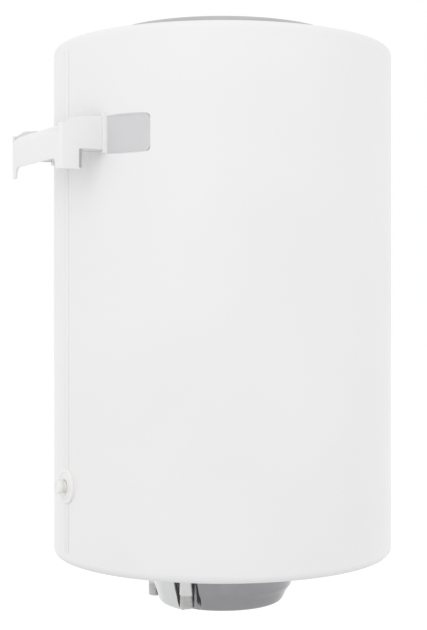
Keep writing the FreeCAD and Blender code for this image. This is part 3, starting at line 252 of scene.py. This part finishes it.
def make_materials():
    """Every finish, by the slot that it dresses. Lengths are in millimetres."""
    along_z = (1, 1, 0.05)
    even = (1, 1, 1)
    return {
        # baked powder coat: bright, satin, with a soft peel that only shows close up
        "white_painted_steel": powder_coat(),
        # matt polypropylene in one even pale grey, with no highlight: the grey is painted shade for the
        # recess floors
        "slot_plate_plastic": moulded("polypropylene_painted_shade_grey", "#cacacc", "#cececf", 0.5, 0.5, 0.02),
        # rubber edging in a mid grey that is painted shade for the dark gap beside the heel and under the
        # arm, dull beside the paint
        "edge_rubber": moulded("rubber_edging_painted_shade", "#a5a5a6", "#acacad", 0.6, 0.4, 0.03),
        # a paler copy of the same edging for the strip under the arm: a lighter painted shade, where the
        # shadow gap is less dark
        "pale_edge_rubber": moulded("rubber_edging_painted_lighter_shade", "#c4c4c5", "#cacacb", 0.6, 0.4, 0.03),
        # spark-eroded plastic: a flat grey whose grain breaks up any gloss
        "grey_cap_plastic": moulded("abs_grey_moulded", "#b4b4b6", "#bababb", 0.48, 0.5, 0.03),
        # silver lacquer over plastic: a smooth metal sheen without brushed lines
        "silver_cover_plastic": metal(
            "silver_lacquered_abs", "#a0a0a2", "#a6a6a8", 0.2, 0.35, even, 0.85, 0.004),
        # thin chrome on plastic: mirrors the studio almost cleanly
        "bright_plating": metal("chrome_plated_abs", "#e4e5e6", "#ececed", 0.12, 0.8, even, 1.0, 0.002),
        # zinc on drawn pipe: fine marks along the pipe blur its highlight
        "pipe_steel": metal("zinc_plated_pipe", "#cccccb", "#d8d8d7", 0.34, 0.4, along_z),
        # plain white plastic: softer and a touch warmer than the paint
        "white_plastic": moulded("polypropylene_white", "#e6e6e4", "#ecebea", 0.42, 0.6, 0.02),
        # mid grey plastic with the same moulded grain
        "grey_plastic": moulded("abs_mid_grey_moulded", "#77797c", "#7d7f82", 0.45, 0.5, 0.03),
        # black nylon: almost no colour, with a broad dull shine
        "black_plastic": moulded("nylon_black_moulded", "#1b1b1c", "#232324", 0.5, 0.5, 0.03),
        # fired glass enamel: deep blue under a wet, clear gloss
        "tank_enamel_steel": moulded("glass_enamel_blue", "#1d2c42", "#263a55", 0.18, 3.0, 0.05, 1.52, 0.4),
        # zinc plate: a cool, slightly cloudy metal
        "plated_steel": metal("zinc_plated_steel", "#b3b2ad", "#c9c7c1", 0.36, 0.5, even),
        # drawn copper: warm and streaked along its length
        "copper": metal("drawn_copper", "#b8714f", "#cf8a63", 0.32, 0.4, along_z),
        # turned brass: yellow, with rings from the lathe
        "brass": metal("turned_brass", "#b59a55", "#cdb56f", 0.3, 0.3, (1, 1, 0.3)),
        # drawn stainless: bright and clean, streaked along its length
        "stainless": metal("drawn_stainless", "#bdbdbb", "#cccccb", 0.28, 0.4, along_z),
        # cast magnesium: rough, dull and pale
        "magnesium": metal("cast_magnesium", "#a2a2a4", "#b8b8b9", 0.55, 0.9, even, 1.0, 0.1),
        # black rubber: matt, swallows the light
        "seal_rubber": moulded("black_rubber", "#161616", "#202020", 0.75, 0.4, 0.04),
        # poured foam: yellow closed cells, no shine
        "foam": rigid_foam(),
        # red plastic, smoother than the rest so that it catches the eye
        "red_plastic": moulded("abs_red_moulded", "#b3180f", "#bd2016", 0.35, 0.5, 0.01),
        # amber lens: clear gloss over a strong orange
        "amber_lens": moulded("amber_lens_moulded", "#d8701a", "#e2801f", 0.12, 3.0, 0.02, 1.49, 0.5),
        # thin clear glass
        "lamp_glass": clear_glass(),
        # brown cable insulation with a waxy sheen
        "lead_insulation": moulded("pvc_insulation", "#6d3a1e", "#7a4425", 0.45, 0.5, 0.01),
    }


def stage_material():
    """A pale painted studio floor, bright enough to fade into the backdrop: it glows more from 1 m to 2.2 m
    out from the middle, painted light far off and painted shade under the heater.
    """
    material, tree, place = new_material("studio_floor_painted_light")
    cloud = add_node(tree, "ShaderNodeTexNoise", {"Vector": place, "Scale": 0.7, "Detail": 2.0})
    level = add_node(tree, "ShaderNodeVectorMath", {0: place, 1: (1, 1, 0)}, operation="MULTIPLY")
    length = add_node(tree, "ShaderNodeVectorMath", {0: level.outputs["Vector"]}, operation="LENGTH")
    radius = length.outputs["Value"]
    # painted light: emission that rises with distance from the heater, leaving painted shade beneath it
    painted_glow = add_node(tree, "ShaderNodeMapRange", {
        "Value": radius, "From Min": 1.0, "From Max": 2.2, "To Min": 0.0, "To Max": 0.35}).outputs["Result"]
    paint = add_node(tree, "ShaderNodeBsdfPrincipled", {
        "Base Color": ramp_between(tree, cloud.outputs["Fac"], "#dcdcdc", "#e2e2e2"),
        "Roughness": 0.8,
        "Emission Color": linear("#ffffff"),
        "Emission Strength": painted_glow,
    })
    below = add_node(tree, "ShaderNodeNewGeometry").outputs["Backfacing"]
    clear = add_node(tree, "ShaderNodeBsdfTransparent")
    mix = add_node(tree, "ShaderNodeMixShader", {0: below, 1: paint.outputs[0], 2: clear.outputs[0]})
    close_material(tree, mix)
    return material


def make_studio(toward):
    scene = bpy.context.scene
    scene.view_settings.view_transform = "Standard"
    world = bpy.data.worlds.new("studio_world")
    world.use_nodes = True
    world.node_tree.nodes["Background"].inputs["Color"].default_value = linear("#ffffff")
    world.node_tree.nodes["Background"].inputs["Strength"].default_value = 1.0
    scene.world = world

    bpy.ops.mesh.primitive_plane_add(size=40, location=(0, 0, BASE - 0.6))
    floor = bpy.context.object
    floor.name = "studio_floor"
    bpy.ops.object.transform_apply(location=True)
    floor.data.materials.append(stage_material())

    side = Vector((-toward.y, toward.x, 0))
    key_place = MIDDLE + toward * 2.0 - side * 0.8 + Vector((0, 0, 1.5))
    area_light("key_softbox", key_place, MIDDLE, (1.5, 1.5), 6)


# ---------------------------------------------------------------- modelling

def only(piece):
    """Select one object, and nothing else, to be worked on."""
    bpy.ops.object.select_all(action="DESELECT")
    piece.select_set(True)
    bpy.context.view_layer.objects.active = piece


def edit(piece):
    """Open one object in edit mode with all of it selected."""
    only(piece)
    bpy.ops.object.mode_set(mode="EDIT")
    bpy.ops.mesh.select_all(action="SELECT")


def close_edit():
    """Leave edit mode, ready to pick points again."""
    bpy.ops.object.mode_set(mode="OBJECT")
    bpy.context.tool_settings.mesh_select_mode = (True, False, False)


def pick_edges(piece, wanted):
    """Open one object in edit mode with only the edges selected whose two ends are wanted."""
    edit(piece)
    bpy.ops.mesh.select_all(action="DESELECT")
    close_edit()
    for edge in piece.data.edges:
        edge.select = wanted(*(piece.data.vertices[i].co for i in edge.vertices))
    bpy.context.tool_settings.mesh_select_mode = (False, True, False)
    bpy.ops.object.mode_set(mode="EDIT")


def pick_faces(piece, wanted):
    """Open one object in edit mode with only the wanted faces selected."""
    edit(piece)
    bpy.ops.mesh.select_all(action="DESELECT")
    close_edit()
    for face in piece.data.polygons:
        face.select = wanted(face)
    bpy.context.tool_settings.mesh_select_mode = (False, False, True)
    bpy.ops.object.mode_set(mode="EDIT")


def tidy_mesh(piece):
    """Merge doubled points and turn every face outwards."""
    edit(piece)
    bpy.ops.mesh.remove_doubles(threshold=WELD)
    bpy.ops.mesh.normals_make_consistent(inside=False)
    close_edit()


def block(name, size, centre):
    """A cube primitive at its size and place, to be shaped further."""
    bpy.ops.object.select_all(action="DESELECT")
    bpy.ops.mesh.primitive_cube_add(size=1, location=centre)
    piece = bpy.context.object
    piece.name = name
    piece.scale = size
    bpy.ops.object.transform_apply(location=True, rotation=True, scale=True)
    return piece


def drawn_line(name, points, closed=False):
    """A line drawn point by point from one merged vertex."""
    bpy.ops.object.select_all(action="DESELECT")
    bpy.ops.mesh.primitive_plane_add(size=MM, location=points[0])
    piece = bpy.context.object
    piece.name = name
    bpy.ops.object.transform_apply(location=True, rotation=True, scale=True)
    bpy.ops.object.mode_set(mode="EDIT")
    bpy.ops.mesh.merge(type="CENTER")
    here = Vector(points[0])
    for point in points[1:]:
        bpy.ops.mesh.extrude_vertices_move(TRANSFORM_OT_translate={"value": Vector(point) - here})
        here = Vector(point)
    if closed:
        bpy.ops.mesh.select_all(action="SELECT")
        bpy.ops.mesh.edge_face_add()
    close_edit()
    return piece


def lathe(name, profile, place, way=(0, 0, 1), steps=96, turn=2 * math.pi):
    """Spin a line of (radius, height) points, in millimetres, round an axis through a place."""
    place = Vector(place)
    way = Vector(way)
    points = [place + Vector((radius, 0, 0)) * MM + way * height * MM for radius, height in profile]
    piece = drawn_line(name, points)
    edit(piece)
    bpy.ops.mesh.spin(steps=steps, angle=turn, center=place, axis=way)
    close_edit()
    tidy_mesh(piece)
    return piece


def soften(piece, width, segments=3, angle=30):
    """Round every edge sharper than the angle, as a real edge is; width is in millimetres."""
    only(piece)
    bevel = piece.modifiers.new("edge_rounding", "BEVEL")
    bevel.width = width * MM
    bevel.segments = segments
    bevel.limit_method = "ANGLE"
    bevel.angle_limit = math.radians(angle)
    bevel.use_clamp_overlap = True
    bpy.ops.object.modifier_apply(modifier=bevel.name)


def copy_of(node, name):
    """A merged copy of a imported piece's mesh, to be worked on."""
    piece = bpy.data.objects.new(name, frame["nodes"][node].data.copy())
    bpy.context.scene.collection.objects.link(piece)
    edit(piece)
    bpy.ops.mesh.remove_doubles(threshold=WELD)
    bpy.ops.mesh.dissolve_limited(angle_limit=math.radians(0.4))
    close_edit()
    return piece


def placed(piece, matrix):
    """Move a piece, then leave its object at the origin with the place in its mesh."""
    only(piece)
    piece.matrix_world = matrix @ piece.matrix_world
    bpy.ops.object.transform_apply(location=True, rotation=True, scale=True)
    return piece


def about(centre, angle, way="Z"):
    """A turn in degrees round an axis through a point."""
    centre = Vector(centre)
    turn = Matrix.Rotation(math.radians(angle), 4, way)
    return Matrix.Translation(centre) @ turn @ Matrix.Translation(-centre)


def joined(pieces):
    """Join pieces into the first one."""
    bpy.ops.object.select_all(action="DESELECT")
    for piece in pieces:
        piece.select_set(True)
    bpy.context.view_layer.objects.active = pieces[0]
    bpy.ops.object.join()
    return pieces[0]


def fill_ends(piece):
    """Close the open ends of a swept piece, and turn every face outwards."""
    edit(piece)
    bpy.ops.mesh.select_all(action="DESELECT")
    bpy.ops.mesh.select_non_manifold(extend=False)
    bpy.ops.mesh.fill()
    bpy.ops.mesh.select_all(action="SELECT")
    bpy.ops.mesh.normals_make_consistent(inside=False)
    close_edit()


def helix(name, root, crest, pitch, length, place, way=(0, 0, 1)):
    """A thread's ridge: a closed triangle swept round the axis, its two ends filled."""
    place = Vector(place)
    corners = [(root - 0.3, 0), (crest, pitch / 2), (root - 0.3, pitch * 0.94)]
    piece = drawn_line(name, [Vector((radius, 0, height)) * MM for radius, height in corners], closed=True)
    edit(piece)
    bpy.ops.mesh.delete(type="ONLY_FACE")
    close_edit()
    only(piece)
    sweep = piece.modifiers.new("thread", "SCREW")
    sweep.axis = "Z"
    sweep.angle = 2 * math.pi
    sweep.screw_offset = pitch * MM
    sweep.iterations = int(length / pitch) - 1
    sweep.steps = sweep.render_steps = 40
    sweep.use_merge_vertices = False
    bpy.ops.object.modifier_apply(modifier=sweep.name)
    edit(piece)
    bpy.ops.mesh.remove_doubles(threshold=WELD)
    close_edit()
    fill_ends(piece)
    lean = Vector((0, 0, 1)).rotation_difference(Vector(way)).to_matrix().to_4x4()
    return placed(piece, Matrix.Translation(place) @ lean)


def finish_piece(piece, body, slot, *stands_for, smooth=35):
    """Shade a piece, give it its finish, hang it on the body it moves with, and hide the nodes it stands
    for.
    """
    only(piece)
    bpy.ops.object.shade_smooth_by_angle(angle=math.radians(smooth))
    piece.data.materials.clear()
    piece.data.materials.append(materials[slot])
    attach(piece, body)
    if stands_for:
        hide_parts(*stands_for)
    return piece


# ---------------------------------------------------------------- pieces


def make_bracket():
    """The bracket with the rolled edges that a press leaves on 3 mm sheet."""
    piece = copy_of("wall_bracket", "bracket_pressed")
    soften(piece, 0.8, 3, 40)
    finish_piece(piece, "heater", "white_painted_steel", "wall_bracket", smooth=40)


def make_slot_plates():
    """Moulded plates that fill the two side recesses, each with a sleeve round its arm; the plates' pale
    grey is painted shade in the recesses.
    """
    reach = math.hypot(RECESS_FLOOR, RECESS_HALF_WIDTH)
    heading = math.asin(ARM_HALF_SPAN / reach) + math.atan(RECESS_HALF_WIDTH / RECESS_FLOOR)
    depth = 4.4 * MM
    foot_width = 69.4 * MM
    foot_height = 45.4 * MM
    slope = 2 * depth * math.tan(math.radians(RECESS_SLOPE))
    surface = AXIS.y + math.sqrt(RADIUS ** 2 - ARM_HALF_SPAN ** 2)
    plates = []
    sleeves = []
    for word, side in (("left", -1), ("right", 1)):
        size = Vector((foot_width, depth, foot_height))
        centre = AXIS + Vector((0, RECESS_FLOOR + depth / 2 - 0.2 * MM, RECESS_RISE))
        plate = block(f"slot_plate_{word}", size, centre)
        pick_faces(plate, lambda face: face.normal.y > 0.9)
        bpy.ops.transform.resize(value=(1 + slope / foot_width, 1, 1 + slope / foot_height))
        close_edit()
        pick_edges(plate, lambda start, end: abs((start - end).normalized().y) > 0.6)
        bpy.ops.mesh.bevel(offset=8.5 * MM, segments=6, affect="EDGES")
        close_edit()
        soften(plate, 0.6, 2)
        plates.append(placed(plate, about(AXIS, -side * math.degrees(heading))))
        sleeve = block(f"arm_sleeve_{word}", Vector((9, 9, 54)) * MM,
                       Vector((side * ARM_HALF_SPAN, surface - 1 * MM, ARM_MIDDLE)))
        soften(sleeve, 1.2, 3)
        sleeves.append(sleeve)
    finish_piece(joined(plates), "heater", "slot_plate_plastic", "arm_slot_plates")
    finish_piece(joined(sleeves), "heater", "white_painted_steel")


def make_arm_painted_shadow_strips():
    """Grey strips on the left arm, down the heel's free edge and along under the arm: painted shade standing
    in for the shadow gap between bracket and jacket.
    """
    heel_y = HEEL_REACH
    arm_z = ARM_UNDERSIDE
    end_y = -62 * MM
    low = ARM_LOW.z + 2 * MM
    grip = 0.6 * MM
    thick = 2.6 * MM
    wide = 4.8 * MM
    middle_x = ARM_LOW.x + SHEET / 2
    upright = block("arm_shadow_strip_upright", Vector((wide, thick + grip, arm_z - low)),
                    Vector((middle_x, heel_y + (grip - thick) / 2, (arm_z + low) / 2)))
    soften(upright, 0.5, 2)
    finish_piece(upright, "heater", "edge_rubber")
    # the strip under the arm takes the paler copy of the painted shade
    level = block("arm_shadow_strip_level", Vector((wide, heel_y - thick - end_y, thick + grip)),
                  Vector((middle_x, (heel_y - thick + end_y) / 2, arm_z + (grip - thick) / 2)))
    soften(level, 0.5, 2)
    finish_piece(level, "heater", "pale_edge_rubber")


def make_jacket_seam():
    """The flat lap seam down the jacket's back, where the rolled sheet meets itself."""
    low = JACKET_LOW.z + 4 * MM
    high = JACKET_HIGH.z - 4 * MM
    strip = block("jacket_seam", Vector((13 * MM, 1.3 * MM, high - low)),
                  Vector((0, BACK + 0.05 * MM, (low + high) / 2)))
    soften(strip, 0.5, 2)
    finish_piece(strip, "heater", "white_painted_steel")


def make_standoff():
    """Socket with a grooved flange, threaded screw, and rounded pad, all turned about one axis."""
    level = (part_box("standoff_socket")[0].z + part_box("standoff_socket")[1].z) / 2
    face = Vector((0, BACK, level))
    socket = lathe("standoff_collar", [
        (8.1, -30), (13, -30), (13, -5), (24, -5), (24, 1.6), (22.6, 3), (19.5, 3), (18.9, 2.3),
        (17.6, 2.3), (17, 3), (13.2, 3), (12.4, 3.8), (9, 3.8), (8.1, 3), (8.1, -30),
    ], face, (0, 1, 0))
    soften(socket, 0.3, 2)
    finish_piece(socket, "heater", "white_plastic", "standoff_socket")

    low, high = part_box("standoff_screw")
    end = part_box("standoff_pad")[0].y
    length = (end - low.y) / MM
    core = lathe("standoff_thread", [
        (0, 0), (6.2, 0), (6.9, 1), (6.9, length - 0.5), (4, length), (4, length + 4), (0, length + 4),
    ], Vector((0, low.y, level)), (0, 1, 0), steps=48)
    ridge = helix("standoff_ridge", 6.9, 8, 2.5, length - 2, Vector((0, low.y + 1 * MM, level)), (0, 1, 0))
    finish_piece(joined([core, ridge]), "standoff", "white_plastic", "standoff_screw")

    pad = lathe("standoff_foot", [
        (4, 0), (9.2, 0), (10, 0.8), (10, 4.4), (9.4, 5.4), (8.4, 6), (6, 6), (5.4, 5.5), (0, 5.5),
        (0, 4.1), (4, 4), (4, 0),
    ], Vector((0, end, level)), (0, 1, 0), steps=64)
    finish_piece(pad, "standoff", "white_plastic", "standoff_pad")


def make_pipes():
    """Half-inch pipes whose lower ends carry a ridge at 14 turns per inch."""
    root = 9.7
    crest = 10.48
    pitch = 1.814
    for node, name in (("cold_inlet_pipe", "cold_pipe_threaded"), ("hot_outlet_pipe", "hot_pipe_threaded")):
        low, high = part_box(node)
        foot = Vector(((low.x + high.x) / 2, (low.y + high.y) / 2, low.z))
        tall = (high.z - low.z) / MM
        tube = lathe(name, [
            (7.6, 0.6), (8.2, 0), (8.9, 0), (root, 0.8), (root, 18), (10.65, 19), (10.65, tall), (7.6, tall),
            (7.6, 0.6),
        ], foot, steps=64)
        ridge = helix(name + "_ridge", root, crest, pitch, 18.5, foot + Vector((0, 0, 0.4 * MM)))
        finish_piece(joined([tube, ridge]), "heater", "pipe_steel", node, smooth=30)


def on_step(point):
    """Whether a point lies on one of the two outer rings of the bowl's step."""
    reach = math.hypot(point.x, point.y - AXIS.y)
    depth = COVER_HIGH.z - point.z
    return any(abs(depth - ring_depth) < 0.1 * MM and abs(reach - radius) < 0.3 * MM
               for ring_depth, radius in STEP_RINGS)


def make_cover():
    """The bowl with its moulded edges eased, and the bright back part between the pipes."""
    bowl = copy_of("bottom_cover", "cover_bowl")
    pick_edges(bowl, lambda start, end: on_step(start) and on_step(end))
    bpy.ops.mesh.bevel(offset=3.2 * MM, segments=5, affect="EDGES")
    close_edit()
    soften(bowl, 0.7, 2, 50)
    finish_piece(bowl, "heater", "silver_cover_plastic", "bottom_cover", smooth=40)

    spread = 33
    panel = lathe("cover_back_panel", [
        (104, -1), (113, -1), (108.3, -20), (103.4, -40), (99.6, -51), (97, -60), (94.6, -66),
        (91.4, -70), (87, -72.4), (80, -73), (60, -73), (58.5, -72), (58.5, -69), (80, -68),
        (88, -56), (94, -40), (104, -1),
    ], AXIS + Vector((0, 0, BASE)), steps=20, turn=math.radians(spread))
    fill_ends(panel)
    panel_box = [Vector(corner) for corner in panel.bound_box]
    middle = sum(panel_box, Vector()) / 8 - AXIS
    placed(panel, about(AXIS, 90 - math.degrees(math.atan2(middle.y, middle.x))))
    soften(panel, 0.6, 2, 40)
    finish_piece(panel, "heater", "bright_plating")


def make_top_cap():
    """The moulded cap, with two raised rings and a gate mark on its top."""
    cap = copy_of("top_cap", "cap_moulded")
    finish_piece(cap, "heater", "grey_cap_plastic", "top_cap", smooth=30)
    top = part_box("top_cap")[1].z
    rings = []
    for name, radius in (("cap_ring_outer", 146), ("cap_ring_inner", 60)):
        rings.append(lathe(name, [
            (radius - 2.6, -0.6), (radius - 1.6, 0.7), (radius + 1.6, 0.7), (radius + 2.6, -0.6),
            (radius - 2.6, -0.6),
        ], AXIS + Vector((0, 0, top)), steps=128))
    gate = [(0, 0.5), (3, 0.5), (4, -0.5), (0, -0.5)]
    rings.append(lathe("cap_gate", gate, AXIS + Vector((0, 0, top)), steps=32))
    finish_piece(joined(rings), "heater", "grey_cap_plastic")


def make_dial():
    """Rising marks round the dial, and the knob with eased edges and a pointer."""
    sweep = 270
    knob = copy_of("control_knob", "knob_moulded")
    soften(knob, 0.7, 3, 40)
    low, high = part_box("control_knob")
    hub = Vector(((low.x + high.x) / 2, (low.y + high.y) / 2, low.z))
    finish_piece(knob, "knob", "white_plastic", "control_knob")
    pointer = block("knob_pointer", Vector((8.6, 1.2, 1.2)) * MM, hub + Vector((12.6, 0, 0.9)) * MM)
    soften(pointer, 0.3, 2)
    finish_piece(pointer, "knob", "red_plastic")
    marks = []
    count = 10
    for step in range(count):
        long = 2 + 4 * step / (count - 1)
        mark = block(f"dial_mark_{step}", Vector((long, 1.1, 0.8)) * MM,
                     Vector((hub.x, hub.y, COVER_LOW.z)) + Vector((30 + long / 2, 0, 0.05)) * MM)
        soften(mark, 0.2, 1)
        marks.append(placed(mark, about(hub, sweep / (count - 1) * step)))
    finish_piece(joined(marks), "heater", "white_plastic")


def make_gland():
    """The cable gland with its collar's corners eased and grip ribs round its cap."""
    collar = copy_of("cable_gland", "gland_collar")
    soften(collar, 0.5, 2, 40)
    finish_piece(collar, "heater", "black_plastic", "cable_gland")
    low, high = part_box("gland_cap")
    middle = (low + high) / 2
    ribs = []
    count = 16
    for step in range(count):
        rib = block(f"gland_rib_{step}", Vector((1.4, 1.6, 4.2)) * MM, middle + Vector((9.6, 0, 0.4)) * MM)
        soften(rib, 0.4, 2)
        ribs.append(placed(rib, about(middle, 360 / count * step)))
    finish_piece(joined(ribs), "heater", "black_plastic")


def make_lens():
    """The lamp's domed lens with its rim."""
    low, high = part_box("indicator_lens")
    foot = Vector(((low.x + high.x) / 2, (low.y + high.y) / 2, low.z))
    lens = lathe("lamp_lens", [
        (0, -1.4), (1.8, -1.25), (3.4, -0.8), (4.7, 0), (6, 0), (6.5, 0.5), (6.5, 1.5), (5, 1.5), (5, 12),
        (4, 12), (4, 1.8), (2.4, 0.4), (0, 0),
    ], foot, steps=48)
    finish_piece(lens, "heater", "amber_lens", "indicator_lens")


def make_cover_screws():
    """Screws whose heads are domed and slotted, and whose edges are eased."""
    screws = copy_of("cover_screws", "cover_screws_turned")
    soften(screws, 0.35, 2, 40)
    finish_piece(screws, "heater", "plated_steel", "cover_screws")


def dress_nodes(materials):
    """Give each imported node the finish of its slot."""
    for row in frame["record"]["subparts"]:
        piece = frame["nodes"][row["node"]]
        piece.data.materials.clear()
        piece.data.materials.append(materials[row["material_slot"]])


toward = make_camera()
materials = make_materials()
make_studio(toward)
dress_nodes(materials)
make_bracket()
make_slot_plates()
make_arm_painted_shadow_strips()
make_jacket_seam()
make_standoff()
make_pipes()
make_cover()
make_top_cap()
make_dial()
make_gland()
make_lens()
make_cover_screws()
